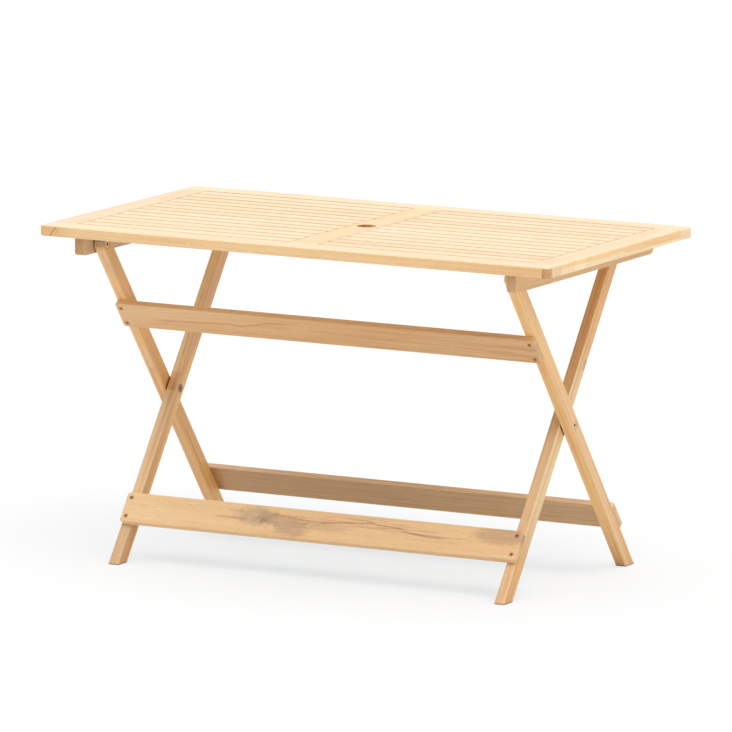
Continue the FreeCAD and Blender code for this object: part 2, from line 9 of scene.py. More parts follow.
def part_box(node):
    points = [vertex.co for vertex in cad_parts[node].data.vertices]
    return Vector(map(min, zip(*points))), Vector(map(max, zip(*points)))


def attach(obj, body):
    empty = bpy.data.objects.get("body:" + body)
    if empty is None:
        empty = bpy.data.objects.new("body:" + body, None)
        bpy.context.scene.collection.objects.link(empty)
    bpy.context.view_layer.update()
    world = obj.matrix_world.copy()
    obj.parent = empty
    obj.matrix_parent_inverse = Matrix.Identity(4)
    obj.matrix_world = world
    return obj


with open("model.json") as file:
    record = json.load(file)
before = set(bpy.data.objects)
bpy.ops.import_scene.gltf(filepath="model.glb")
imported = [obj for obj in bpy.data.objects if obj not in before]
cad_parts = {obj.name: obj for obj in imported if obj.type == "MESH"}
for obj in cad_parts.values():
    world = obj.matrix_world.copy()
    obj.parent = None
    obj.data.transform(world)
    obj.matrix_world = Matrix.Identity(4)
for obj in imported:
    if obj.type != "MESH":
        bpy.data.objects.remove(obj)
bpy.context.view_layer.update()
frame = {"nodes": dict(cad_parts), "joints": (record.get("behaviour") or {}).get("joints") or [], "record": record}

# ---------------------------------------------------------------- front and back rails
# The two long boards of the top, of pale oiled hardwood, planed, with mortises for the cross
# rails. Their outer corners are rounded in plan, so sawn end grain shows at both ends.


class Wire:
    """A node's output. Arithmetic on it adds Math nodes, and node() adds any other kind."""

    def __init__(self, tree, socket=None):
        self.tree = tree
        self.socket = socket

    def node(self, kind, settings=None, inputs=None, output=0):
        """Adds a node: first its settings or a ramp's stops, then its inputs' links or values."""
        made = self.tree.nodes.new(kind)
        for name, value in (settings or {}).items():
            if name == "stops":
                while len(made.color_ramp.elements) < len(value):
                    made.color_ramp.elements.new(1.0)
                for stop, (place, grey) in zip(made.color_ramp.elements, value):
                    stop.position = place
                    stop.color = (grey, grey, grey, 1)
            else:
                setattr(made, name, value)
        for place, value in (inputs or {}).items():
            if isinstance(value, Wire):
                self.tree.links.new(value.socket, made.inputs[place])
            else:
                made.inputs[place].default_value = value
        return Wire(self.tree, made.outputs[output] if made.outputs else None)

    def maths(self, operation, first, second=0.0):
        return self.node("ShaderNodeMath", {"operation": operation}, {0: first, 1: second})

    def __add__(self, other):
        return self.maths("ADD", self, other)

    def __radd__(self, other):
        return self.maths("ADD", other, self)

    def __sub__(self, other):
        return self.maths("SUBTRACT", self, other)

    def __rsub__(self, other):
        return self.maths("SUBTRACT", other, self)

    def __mul__(self, other):
        return self.maths("MULTIPLY", self, other)

    def __rmul__(self, other):
        return self.maths("MULTIPLY", other, self)

    def __truediv__(self, other):
        return self.maths("DIVIDE", self, other)

    def __abs__(self):
        return self.maths("ABSOLUTE", self)


def new_material(name):
    """An empty node material, with the start of its wires and its shader."""
    material = bpy.data.materials.new(name)
    material.use_nodes = True
    tree = material.node_tree
    tree.nodes.clear()
    shader = tree.nodes.new("ShaderNodeBsdfPrincipled")
    output = tree.nodes.new("ShaderNodeOutputMaterial")
    tree.links.new(shader.outputs[0], output.inputs[0])
    return material, Wire(tree), shader


def seen(*parts):
    """A colour as it looks on a screen, from 0 to 255, in the linear light that shaders use."""
    return tuple(((part / 255 + 0.055) / 1.055) ** 2.4 for part in parts)


def scaled(colour, *parts):
    """A colour with its red, green and blue made larger or smaller."""
    return tuple(one * other for one, other in zip(colour, parts))


def smooth(value, low, high):
    """Rises smoothly from 0 at low to 1 at high."""
    inputs = {"Value": value, "From Min": low, "From Max": high}
    return value.node("ShaderNodeMapRange", {"interpolation_type": "SMOOTHSTEP"}, inputs)


def between(value, rise, fall):
    """Rises smoothly from 0 to 1 over the first range, and falls back over the second."""
    return smooth(value, *rise) * (1 - smooth(value, *fall))


def mix(mask, first, second):
    """The first colour, and the second where the mask is 1."""
    settings = {"data_type": "RGBA"}
    return mask.node("ShaderNodeMix", settings, {0: mask, 6: first, 7: second}, 2)


def tinted(colour, mask, tint):
    """Multiplies a colour by a tint where the mask is 1."""
    settings = {"data_type": "RGBA", "blend_type": "MULTIPLY"}
    return colour.node("ShaderNodeMix", settings, {0: mask, 6: colour, 7: (*tint, 1)}, 2)


def vector(x, y, z=0.0):
    return x.node("ShaderNodeCombineXYZ", {}, {0: x, 1: y, 2: z})


def towards(place, direction):
    """How far a place, or the way a face looks, lies along a direction."""
    inputs = {0: place, 1: tuple(direction)}
    return place.node("ShaderNodeVectorMath", {"operation": "DOT_PRODUCT"}, inputs, 1)


def length(place):
    return place.node("ShaderNodeVectorMath", {"operation": "LENGTH"}, {0: place}, 1)


def noise(place, stretch, detail=2.0, output=0):
    """Noise over a place, with so many lumps a metre along each direction."""
    inputs = {0: place, 1: stretch}
    stretched = place.node("ShaderNodeVectorMath", {"operation": "MULTIPLY"}, inputs)
    inputs = {"Vector": stretched, "Scale": 1.0, "Detail": detail}
    return place.node("ShaderNodeTexNoise", {}, inputs, output)


def reach(node, direction):
    """Where a CAD node begins and ends along a direction."""
    lengths = [corner.co.dot(direction) for corner in frame["nodes"][node].data.vertices]
    return min(lengths), max(lengths)


def finish_node(node, material):
    """Gives a CAD node its material."""
    mesh = frame["nodes"][node].data
    mesh.materials.clear()
    mesh.materials.append(material)


ALONG_X = Vector((1, 0, 0))
ALONG_Y = Vector((0, 1, 0))
UP = Vector((0, 0, 1))
RING_WIDTH = 0.0035
RING_STRAY = 0.034
LOG_TAPER = 0.012
END_GRAIN = seen(236, 206, 168)
# The tint of the painted shade on faces that look into the gaps between boards.
GAP_SHADE_TINT = (0.76, 0.50, 0.23)


def board_places(node, here, directions):
    """Places measured along each direction from the board's middle, and its half sizes."""
    places = []
    halves = []
    for direction in directions:
        low, high = reach(node, direction)
        places.append(towards(here, direction) - (low + high) / 2)
        halves.append((high - low) / 2)
    return places, halves


def bent_grain(x, y, knots):
    """The grain bends round each knot, which is longer along the board than across it."""
    bent = y
    for knot_x, knot_y, size in knots:
        away = length(vector((x - knot_x) * 0.45, y - knot_y))
        bent = bent - (y - knot_y) * (1 - smooth(away, 0.0, size)) * 0.85
    return bent


def growth_rings(x, y, z, place, pith, seed):
    """Rings round the pith, which stray along the board; no two years are alike.

    Gives how late in its year the wood is, that year's tone, and a mask of the dark late wood.
    """
    stray = noise(place, (1.7, 11.0, 11.0), 3.0, output=1)
    stray = stray.node("ShaderNodeSeparateColor", {}, {0: stray})
    stray_up = Wire(stray.tree, stray.socket.node.outputs[1])
    from_pith = vector(
        y - pith[0] + (stray - 0.5) * RING_STRAY + x * LOG_TAPER,
        z - pith[1] + (stray_up - 0.5) * RING_STRAY,
    )
    count = length(from_pith) / RING_WIDTH + noise(place, (3.0, 60.0, 60.0)) * 0.8
    late = count.maths("FRACT", count)
    number = count.maths("FLOOR", count)
    year = count.node("ShaderNodeTexWhiteNoise", {"noise_dimensions": "1D"}, {"W": number + seed})
    return late, year, between(late, (0.30, 0.93), (0.93, 1.0)) * (year * 0.75 + 0.25)


def sawn_look(place, ring, ends):
    """End grain is greyer than the faces, and speckled where the saw has torn the fibres."""
    speckle = noise(place, (420.0, 420.0, 420.0), 3.0)
    look = mix(smooth(speckle, 0.35, 0.65), (*scaled(ends, 1.10, 1.12, 1.16), 1), (*ends, 1))
    look = tinted(look, smooth(speckle, 0.50, 0.75), (0.78, 0.72, 0.66))
    return tinted(look, ring * 0.6, (0.80, 0.72, 0.64))


def timber(
    node, along, face, seed, colour, sides=None, ends=END_GRAIN, pith=(0.0, -0.06),
    shaded_in_gaps=(), knots=(), marks=None,
):
    """Makes a board solid wood, cut from a log whose growth rings run round its pith.

    along is the way of the grain, and face the way that the broad side looks. colour is for the
    broad sides, sides for the narrow ones and ends for the sawn ends. pith is where the middle of
    the log lies, across the board and out from its broad side. The gap ways are the ways that the
    faces in a gap look, and those faces get painted shade; knots are the places that the grain
    bends round, and marks adds this board's own.
    """
    material, start, shader = new_material(node + "_wood")
    across = along.cross(face)
    here = start.node("ShaderNodeTexCoord", output=3)
    facing = start.node("ShaderNodeTexCoord", output=1)
    (x, y, z), half_sizes = board_places(node, here, (along, across, face))
    grain_y = bent_grain(x, y, knots)
    place = vector(x + seed, grain_y + seed * 0.37, z)
    late, year, ring = growth_rings(x, grain_y, z, place, pith, seed)

    # The planed faces change slowly in tone, and the narrow ones have a colour of their own.
    cloud = noise(place, (2.2, 16.0, 16.0))
    tone = smooth(cloud * 0.75 + year * 0.25, 0.30, 0.70)
    pale = (*scaled(colour, 1.03, 1.06, 1.10), 1)
    honey = (*scaled(colour, 1.00, 0.97, 0.94), 1)
    look = mix(tone, pale, honey)
    if sides is not None:
        narrow = smooth(abs(towards(facing, across)), 0.45, 0.85)
        look = tinted(look, narrow, [one / other for one, other in zip(sides, colour)])

    # Dark late wood, bands, fibres along the grain, and open pores.
    bands = noise(place, (3.2, 130.0, 130.0), 3.0)
    fibre = noise(place, (22.0, 1100.0, 1100.0))
    pores = smooth(noise(place, (110.0, 1900.0, 1900.0), 0.0), 0.60, 0.75)
    look = tinted(look, ring * 0.40, (0.86, 0.75, 0.62))
    look = tinted(look, smooth(bands, 0.44, 0.70) * 0.35, (0.88, 0.80, 0.70))
    look = tinted(look, smooth(fibre, 0.35, 0.75) * 0.30, (0.86, 0.77, 0.66))
    look = tinted(look, pores * 0.35, (0.62, 0.50, 0.38))

    # Sawn ends, paler worn edges, and painted shade on the faces in the gaps.
    end_on = smooth(abs(towards(facing, along)), 0.50, 0.80)
    look = mix(end_on, look, sawn_look(place, ring, ends))
    edge = start.maths("MAXIMUM", half_sizes[1] - abs(y), half_sizes[2] - abs(z))
    worn = (1 - smooth(edge, 0.0004, 0.0026)) * smooth(cloud, 0.30, 0.60)
    look = tinted(look, worn * 0.5, (1.05, 1.08, 1.12))
    # Painted shade on the faces that look into a gap.
    for direction in shaded_in_gaps:
        gap_shade = smooth(towards(facing, direction), 0.45, 0.70)
        look = tinted(look, gap_shade, GAP_SHADE_TINT)
    if marks is not None:
        look = marks(x, y, z, place, look)
    start.tree.links.new(look.socket, shader.inputs["Base Color"])

    rough = 0.38 + 0.10 * fibre + 0.15 * end_on
    start.tree.links.new(rough.socket, shader.inputs["Roughness"])
    height = fibre * 0.5 + late * 0.3 - pores * 0.7
    bump = {"Strength": 0.10, "Distance": 0.0004, "Height": height}
    bump = start.node("ShaderNodeBump", {}, bump)
    start.tree.links.new(bump.socket, shader.inputs["Normal"])
    shader.inputs["IOR"].default_value = 1.5
    finish_node(node, material)


def streak(run, across, points, width, place):
    """A dark line in the wood through some points, each so far along and so far across it."""
    first, last = points[0][0], points[-1][0]
    low = min(point[1] for point in points) - 0.001
    high = max(point[1] for point in points) + 0.001
    span = last - first
    stops = [((along - first) / span, (height - low) / (high - low)) for along, height in points]
    share = (run - first) / span
    line = run.node("ShaderNodeValToRGB", {"stops": stops}, {0: share})
    line = line * (high - low) + (noise(place, (60.0, 60.0, 60.0)) - 0.5) * (0.6 * width) + low
    thickness = noise(place, (90.0, 20.0, 20.0)) * (1.3 * width)
    inside = 1 - smooth(abs(across - line) / (thickness + 0.25 * width), 0.3, 1.0)
    return inside * between(share, (0.0, 0.12), (0.85, 1.0))


def spot(x, y, middle, size, place, ragged=0.4):
    """A soft oval patch, with an edge that noise breaks up."""
    away = length(vector((x - middle[0]) / size[0], (y - middle[1]) / size[1]))
    away = away + (noise(place, (70.0, 160.0, 160.0), 3.0) - 0.5) * (2 * ragged)
    return 1 - smooth(away, 0.45, 1.0)


TOP_FACE = seen(239, 211, 174)
RAIL_SIDE = seen(251, 211, 156)
RAIL_END = reach("front_rail", ALONG_X)[1]


def front_rail_marks(x, y, z, place, look):
    """Two slanting mineral streaks near the left end, worn ends, and a bruised right corner."""
    from_left = x + RAIL_END
    from_right = RAIL_END - x
    on_front = smooth(y, 0.024, 0.029)
    look = tinted(look, (1 - smooth(from_right, 0.02, 0.30)) * on_front, (0.94, 0.87, 0.81))
    look = tinted(look, (1 - smooth(from_left, 0.03, 0.09)) * on_front, (0.90, 0.83, 0.76))

    long_line = ((-0.0115, 0.0255), (0.0105, 0.0410))
    short_line = ((-0.0050, 0.0395), (0.0090, 0.0475))
    long_streak = streak(z, from_left, long_line, 0.0036, place) * on_front
    short_streak = streak(z, from_left, short_line, 0.0026, place) * on_front
    look = tinted(look, long_streak, (0.70, 0.62, 0.60))
    look = tinted(look, short_streak * 0.8, (0.80, 0.74, 0.72))

    corner = (1 - smooth(from_right, 0.013, 0.017)) * smooth(y, 0.0115, 0.0160)
    corner = corner * (1 - smooth(z, 0.0085, 0.0100))
    bruise = corner * (noise(place, (120.0, 120.0, 120.0)) + 0.40)
    look = tinted(look, bruise, (0.66, 0.53, 0.44))
    dent = spot(from_right, z, (0.0132, -0.003), (0.0020, 0.0055), place, 0.2)
    look = tinted(look, dent * on_front, (0.72, 0.62, 0.56))

    last_bit = 1 - smooth(from_right, 0.001, 0.008)
    chips = smooth(noise(place, (260.0, 260.0, 260.0), 3.0), 0.52, 0.60)
    chips = chips * last_bit * (1 - smooth(y, 0.009, 0.014))
    look = tinted(look, last_bit * (1 - chips), (0.96, 0.94, 0.90))
    return tinted(look, chips, (1.14, 1.26, 1.46))


timber(
    "front_rail", ALONG_X, UP, 1.3, TOP_FACE, RAIL_SIDE, seen(236, 202, 156),
    pith=(0.02, -0.07), shaded_in_gaps=[ALONG_Y], marks=front_rail_marks,
)
timber(
    "back_rail", ALONG_X, UP, 5.9, TOP_FACE, RAIL_SIDE, seen(242, 212, 169),
    pith=(-0.03, -0.06), shaded_in_gaps=[-ALONG_Y],
)

# ---------------------------------------------------------------- end rails and centre rail
# Three boards across the table, tenoned and glued into the long rails. The middle one is a little
# wider and has the round hole for an umbrella pole, whose wall has soaked up more oil.

MOUNTS = {mount["name"]: mount for mount in frame["record"]["mounts"]}
HOLE_RADIUS = MOUNTS["umbrella_hole"]["dims"]["r_mm"] / 1000


def sapwood_marks(x, y, z, place, look):
    """On the outer face, pale sapwood up to a line that drops towards the back.

    The heartwood above it is blotchy, honey-coloured at the back, and has one pale spot.
    """
    outer = smooth(y, 0.0265, 0.0290)
    drop = smooth(x, -0.04, 0.12) * 0.005
    line = (noise(place, (14.0, 14.0, 14.0)) - 0.5) * 0.0024 - drop
    sapwood = 1 - smooth(z - line, -0.0004, 0.0012)
    heartwood = 1 - sapwood
    look = tinted(look, outer * sapwood, (1.05, 1.24, 1.56))
    look = tinted(look, outer * smooth(x, -0.04, 0.14) * heartwood, (0.99, 0.93, 0.87))
    pale_spot = spot(x, z, (-0.20, 0.0), (0.035, 0.020), place)
    look = tinted(look, outer * pale_spot, (1.04, 1.09, 1.16))
    blotches = smooth(noise(place, (30.0, 160.0, 160.0), 3.0), 0.48, 0.66) * heartwood
    return tinted(look, outer * blotches * 0.5, (0.92, 0.86, 0.78))


def umbrella_hole_marks(x, y, z, place, look):
    """The wall of the hole is darker than the face, and painted shade makes it darkest at the front and the back
    of the wall.
    """
    wall = 1 - smooth(length(vector(x, y)), HOLE_RADIUS + 0.0001, HOLE_RADIUS + 0.0008)
    look = tinted(look, wall, (0.96, 0.88, 0.72))
    # Painted shade, darkest at the front and the back of the wall.
    darker_band = 1 - smooth(abs(y * 0.9 + x * 0.4), 0.003, 0.017)
    return tinted(look, wall * darker_band, (0.62, 0.54, 0.50))


timber(
    "left_end_rail", ALONG_Y, UP, 8.1, seen(228, 204, 168), seen(242, 207, 151),
    pith=(0.01, -0.08), shaded_in_gaps=[ALONG_X],
)
timber(
    "right_end_rail", ALONG_Y, UP, 3.2, seen(234, 209, 171), seen(248, 207, 150),
    pith=(-0.02, -0.05), shaded_in_gaps=[-ALONG_X], marks=sapwood_marks,
)
timber(
    "centre_rail", ALONG_Y, UP, 6.6, seen(230, 200, 153), seen(236, 200, 143),
    pith=(0.015, -0.09), shaded_in_gaps=[ALONG_X, -ALONG_X], marks=umbrella_hole_marks,
)

# ---------------------------------------------------------------- slats
# Two panels of thin boards, with tongues in the grooves of the cross rails. They come from
# many planks, so each is paler or more peach than the next. Painted shade darkens the gaps.

PALE_SLAT = seen(237, 216, 179)
PEACH_SLAT = seen(234, 203, 163)
SLAT_WARMTH = {
    "left": (0.1, 0.5, 0.1, 0.4, 0.4, 0.15, 0.75, 0.2, 0.8, 0.35, 1.0, 0.25, 0.4),
    "right": (0.25, 0.95, 0.25, 0.4, 0.2, 0.2, 0.0, 0.2, 0.1, 0.9, 0.1, 0.15, 0.6),
}
PANEL_SEED = {"left": 10.0, "right": 50.0}

for side, warmths in SLAT_WARMTH.items():
    for number, warmth in enumerate(warmths, start=1):
        colour = tuple(
            (1 - warmth) * pale + warmth * peach for pale, peach in zip(PALE_SLAT, PEACH_SLAT)
        )
        seed = PANEL_SEED[side] + number * 2.37
        pith = (0.03 * math.sin(seed * 12.9), -0.06 + 0.03 * math.cos(seed * 7.7))
        timber(
            "%s_slat_%02d" % (side, number), ALONG_X, UP, seed, colour,
            pith=pith, shaded_in_gaps=[ALONG_X, -ALONG_X, ALONG_Y, -ALONG_Y],
        )

# ---------------------------------------------------------------- battens
# A batten under the middle of each panel, held to every slat by a pan-headed steel screw. Only
# the heads are made, since the rest of each screw is inside the wood.

FRAME_WOOD = seen(238, 192, 143)
FRAME_SIDE = seen(226, 180, 134)
SCREW_TURN = 0.9


def metal(name, colour, rough, dirt_and_shade=None):
    """Bare or coated metal, finely brushed; the mask, if given, darkens it with dirt and painted shade."""
    material, start, shader = new_material(name)
    here = start.node("ShaderNodeTexCoord", output=3)
    brushed = noise(here, (900.0, 900.0, 900.0))
    stained = noise(here, (180.0, 180.0, 180.0), 3.0)
    look = mix(brushed, (*colour, 1), (*scaled(colour, 0.8, 0.8, 0.8), 1))
    look = tinted(look, smooth(stained, 0.45, 0.70) * 0.6, (0.74, 0.66, 0.58))
    if dirt_and_shade is not None:
        # Dirt and painted shade darken the metal where the mask is 1.
        look = tinted(look, dirt_and_shade(here), (0.38, 0.26, 0.17))
    start.tree.links.new(look.socket, shader.inputs["Base Color"])
    roughness = brushed * 0.12 + stained * 0.16 + rough
    start.tree.links.new(roughness.socket, shader.inputs["Roughness"])
    shader.inputs["Metallic"].default_value = 1.0
    return material


def pick_faces(piece, wanted):
    """In edit mode, selects only the faces that are wanted."""
    shape = bmesh.from_edit_mesh(piece.data)
    for face in shape.faces:
        face.select_set(wanted(face))
    shape.select_flush_mode()
    bmesh.update_edit_mesh(piece.data)


def remove(piece):
    """Deletes a pattern or a cutter that has done its work."""
    bpy.ops.object.select_all(action="DESELECT")
    piece.select_set(True)
    bpy.ops.object.delete()


def screw_head(radius, height, rounding):
    """A screw's head, seated at the origin and looking up, with a cross recess cut in it."""
    bpy.ops.object.select_all(action="DESELECT")
    bpy.ops.mesh.primitive_cylinder_add(
        vertices=24, radius=radius, depth=height, location=(0, 0, height / 2)
    )
    head = bpy.context.object
    bpy.ops.object.mode_set(mode="EDIT")
    bpy.ops.mesh.select_mode(type="FACE")
    pick_faces(head, lambda face: face.normal.z > 0.9)
    bpy.ops.mesh.bevel(offset=rounding, segments=4, affect="EDGES")
    bpy.ops.object.mode_set(mode="OBJECT")

    # Two tapered blades, one across the other, cut the recess.
    for turn in (0, math.pi / 2):
        bpy.ops.object.select_all(action="DESELECT")
        bpy.ops.mesh.primitive_cube_add(
            size=1, location=(0, 0, height), rotation=(0, 0, turn),
            scale=(radius * 1.2, radius * 0.30, height * 1.2),
        )
        blade = bpy.context.object
        bpy.ops.object.mode_set(mode="EDIT")
        pick_faces(blade, lambda face: face.normal.z < -0.9)
        bpy.ops.transform.resize(value=(0.45, 0.6, 1.0))
        bpy.ops.object.mode_set(mode="OBJECT")
        cross = head.modifiers.new("cross", "BOOLEAN")
        cross.operation = "DIFFERENCE"
        cross.object = blade
        bpy.context.view_layer.objects.active = head
        bpy.ops.object.modifier_apply(modifier=cross.name)
        remove(blade)
    head.select_set(True)
    bpy.context.view_layer.objects.active = head
    bpy.ops.object.shade_smooth_by_angle(angle=math.radians(35))
    return head


def set_screws(name, body, pattern, spots, looks, material):
    """Copies a screw to each spot, turned to look one way, and joins the copies to one piece."""
    bpy.ops.object.select_all(action="DESELECT")
    for number, place in enumerate(spots):
        copy = bpy.data.objects.new(name, pattern.data.copy())
        bpy.context.scene.collection.objects.link(copy)
        turn = Vector(looks).to_track_quat("Z", "Y").to_matrix().to_4x4()
        turn = turn @ Matrix.Rotation(SCREW_TURN * number, 4, "Z")
        copy.matrix_world = Matrix.Translation(place) @ turn
        copy.select_set(True)
        bpy.context.view_layer.objects.active = copy
    bpy.ops.object.join()
    piece = bpy.context.object
    bpy.ops.object.transform_apply(location=True, rotation=True, scale=True)
    piece.name = name
    piece.data.materials.clear()
    piece.data.materials.append(material)
    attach(piece, body)


def middle(node):
    low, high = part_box(node)
    return (low + high) / 2


steel = metal("zinc_steel", seen(176, 168, 156), 0.26)
pan_head = screw_head(radius=0.0036, height=0.0024, rounding=0.0011)
for side, seed in (("left", 71.0), ("right", 77.7)):
    batten = side + "_batten"
    timber(batten, ALONG_Y, UP, seed, FRAME_WOOD, FRAME_SIDE)
    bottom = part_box(batten)[0].z
    numbers = range(1, len(SLAT_WARMTH[side]) + 1)
    slats = [middle("%s_slat_%02d" % (side, number)) for number in numbers]
    spots = [(middle(batten).x, slat.y, bottom) for slat in slats]
    set_screws(batten + "_screws", "table_top", pan_head, spots, -UP, steel)

# ---------------------------------------------------------------- bearers
# Two upright boards under the ends of the top, screwed up into the long rails. They carry the
# top pivot, and their front ends show greyish, speckled end grain.

BEARER_EDGE = seen(226, 186, 140)
BEARER_LOOKS = {
    # The left bearer is darker: painted shade, for its side that looks in under the top.
    "left": (81.0, seen(220, 187, 148), seen(201, 154, 105)),
    "right": (87.7, seen(238, 196, 139), seen(208, 168, 124)),
}
BEARER_SCREW_Y = 0.305


def bearer_marks(x, y, z, place, look):
    """Dark fine lines in the lower half."""
    lines = smooth(noise(place, (6.0, 420.0, 420.0)), 0.50, 0.68) * smooth(y, -0.004, 0.016)
    return tinted(look, lines * 0.6, (0.82, 0.74, 0.66))


for side, (seed, colour, ends) in BEARER_LOOKS.items():
    bearer = side + "_bearer"
    timber(bearer, ALONG_Y, ALONG_X, seed, colour, BEARER_EDGE, ends, marks=bearer_marks)
    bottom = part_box(bearer)[0].z
    spots = [(middle(bearer).x, y, bottom) for y in (-BEARER_SCREW_Y, BEARER_SCREW_Y)]
    set_screws(bearer + "_screws", "table_top", pan_head, spots, -UP, steel)

# ---------------------------------------------------------------- catch blocks
# Two blocks under the back rail, each with a notch that the round bar of the inner legs seats
# in. Two screws hold each block from below.

BLOCK_SCREW_INSETS = (0.011, 0.031)

for side, seed in (("left", 91.0), ("right", 97.7)):
    block = side + "_catch_block"
    timber(block, ALONG_Y, ALONG_X, seed, FRAME_WOOD, FRAME_SIDE)
    low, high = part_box(block)
    spots = [(middle(block).x, high.y - inset, low.z) for inset in BLOCK_SCREW_INSETS]
    set_screws(block + "_screws", "table_top", pan_head, spots, -UP, steel)

remove(pan_head)

# ---------------------------------------------------------------- legs
# Two pairs of crossed legs, each sawn square and rounded over at its top. The outer pair hangs
# from the bearers, and the inner pair holds the round bar between its tops.

JOINTS = {joint["name"]: Vector(joint["pos_m"]) for joint in frame["joints"]}


def top_pin(leg):
    """The middle of what a leg turns on at its top: an outer leg's bolt, or the round bar."""
    return JOINTS["top_fold"] if "outer" in leg else middle("catch_bar")


def lean(leg):
    """The way a leg runs, from its foot up, and the way its front face looks."""
    climb = top_pin(leg) - JOINTS["leg_fold"]
    up_leg = Vector((0, climb.y, climb.z)).normalized()
    return up_leg, Vector((0, -up_leg.z, up_leg.y))


def half_size(node, direction):
    low, high = reach(node, direction)
    return (high - low) / 2


LEG_HALF_WIDTH = half_size("left_outer_leg", ALONG_X)
LEG_HALF_DEPTH = half_size("left_outer_leg", lean("left_outer_leg")[1])
HEAD_RIM = (0.0080, 0.0088)
RECESS_RIM = (0.0094, 0.0106)
# How high the painted contact shade at the foot reaches.
FOOT_SHADE_RISE = (0.0010, 0.0032)


def joint_shade(x, y, z, look, cross_x, pin_x, other_tilt, inwards):
    """Painted shade: dark rings in the recesses round the bolt heads, and where the other leg of the pair passes.
    """
    # Painted shade in the recess round each bolt head.
    for pivot_x in (cross_x, pin_x):
        away = length(vector(x - pivot_x, z))
        look = tinted(look, between(away, HEAD_RIM, RECESS_RIM) * 0.8, (0.62, 0.48, 0.38))
    # Painted shade where the other leg of the pair passes close by.
    off_line = abs((x - cross_x) * other_tilt[0] + z * other_tilt[1])
    crossing_shade = 1 - smooth(off_line, LEG_HALF_DEPTH - 0.0002, LEG_HALF_DEPTH + 0.0007)
    crossing_shade = crossing_shade * smooth(y * inwards, LEG_HALF_WIDTH - 0.0008, LEG_HALF_WIDTH - 0.0002)
    return tinted(look, crossing_shade, (0.36, 0.26, 0.18))


def right_side(y):
    """A mask of a leg's right side, up to where the rounded edge turns to the front."""
    return smooth(y, LEG_HALF_WIDTH - 0.0035, LEG_HALF_WIDTH - 0.0005)


def left_outer_marks(x, y, z, place, look):
    """Paler downwards, with a grey patch and a pale stretch above the cross pivot.

    The top end is darker with painted shade from the table top, and a thin crack runs low down on the side.
    """
    patch = spot(x, y, (0.066, 0.003), (0.014, 0.009), place)
    look = tinted(look, patch, (0.91, 0.92, 1.12))
    look = tinted(look, 1 - smooth(x, -0.30, -0.10), (1.08, 1.10, 1.10))
    look = tinted(look, spot(x, y, (0.105, 0.0), (0.050, 0.012), place), (0.98, 1.10, 1.26))
    look = tinted(look, smooth(x, 0.32, 0.40), (0.91, 0.97, 1.05))
    # Painted shade from the table top on the top end.
    look = tinted(look, smooth(x, 0.435, 0.460), (0.74, 0.67, 0.62))
    look = tinted(look, 1 - smooth(x, -0.36, -0.28), (1.06, 1.09, 1.11))
    crack = streak(x, z, ((-0.252, 0.008), (-0.190, 0.0085), (-0.120, 0.0075)), 0.0020, place)
    return tinted(look, crack, (0.68, 0.56, 0.50))


def right_outer_marks(x, y, z, place, look):
    """Browner at the foot, warmer in the lower front and the upper side.

    A brown stretch crosses the front higher up.
    """
    side = right_side(y)
    front = 1 - side
    look = tinted(look, 1 - smooth(x, -0.44, -0.20), (0.94, 0.90, 0.86))
    look = tinted(look, (1 - smooth(x, -0.42, -0.33)) * front, (0.90, 0.84, 0.84))
    warm = between(x, (-0.36, -0.26), (-0.12, -0.02)) * front
    look = tinted(look, warm, (1.12, 1.09, 1.05))
    look = tinted(look, smooth(x, 0.02, 0.25) * side, (1.10, 1.08, 0.97))
    return tinted(look, spot(x, y, (0.195, 0.0), (0.040, 0.012), place), (0.92, 0.86, 0.84))


def left_inner_marks(x, y, z, place, look):
    """Browner low down, with painted shadow of the front stretcher on the foot, a browner band round the cross
    pivot and a dark line above it.

    The rear edge of the side is golden, in a band that is wider near the cross pivot.
    """
    side = right_side(y)
    front = 1 - side
    look = tinted(look, (1 - smooth(x, -0.08, 0.06)) * front, (0.83, 0.77, 0.76))
    # Painted shadow of the front stretcher on the foot.
    look = tinted(look, 1 - smooth(x, -0.36, -0.31), (0.85, 0.80, 0.78))
    near_joint = 1 - smooth(abs(x), 0.05, 0.14)
    foot = 1 - smooth(x, -0.37, -0.33)
    golden = 1 - smooth(z - near_joint * 0.006 + foot * 0.008, -0.0060, -0.0020)
    golden = golden * (1 - smooth(x, 0.06, 0.14)) * side
    look = tinted(look, golden, (1.19, 1.25, 0.98))
    darker_band = between(x, (-0.0160, -0.0140), (0.0290, 0.0310)) * front
    look = tinted(look, darker_band, (0.84, 0.77, 0.68))
    line = streak(x, y, ((0.06, 0.002), (0.16, -0.002), (0.24, 0.001)), 0.0030, place)
    return tinted(look, line * front * 0.8, (0.80, 0.66, 0.56))


def right_inner_marks(x, y, z, place, look):
    """The top half of the front is browner with painted shade from the table top; the middle of the side is paler,
    the foot streaky.

    A grey patch lies on the side above the cross pivot.
    """
    side = right_side(y)
    # Painted shade from the table top on the top half of the front.
    look = tinted(look, smooth(x, 0.02, 0.10) * (1 - side), (0.89, 0.835, 0.75))
    pale = between(x, (-0.34, -0.24), (0.08, 0.20)) * side
    look = tinted(look, pale, (1.02, 1.26, 1.53))
    look = tinted(look, smooth(x, 0.20, 0.30), (1.12, 1.10, 1.02))
    grey = spot(x, z, (0.146, -0.009), (0.020, 0.009), place)
    look = tinted(look, grey, (0.74, 0.73, 0.76))
    streaks = smooth(noise(place, (9.0, 300.0, 300.0)), 0.52, 0.66) * (1 - smooth(x, -0.30, -0.10))
    return tinted(look, streaks * 0.8, (0.78, 0.66, 0.56))


LEG_LOOKS = {
    "left_outer_leg": (101.0, seen(250, 199, 138), seen(242, 189, 118), left_outer_marks),
    "right_outer_leg": (107.7, seen(253, 211, 148), seen(239, 199, 146), right_outer_marks),
    "left_inner_leg": (111.0, seen(252, 218, 166), seen(237, 190, 136), left_inner_marks),
    "right_inner_leg": (117.7, seen(230, 189, 141), seen(234, 184, 126), right_inner_marks),
}


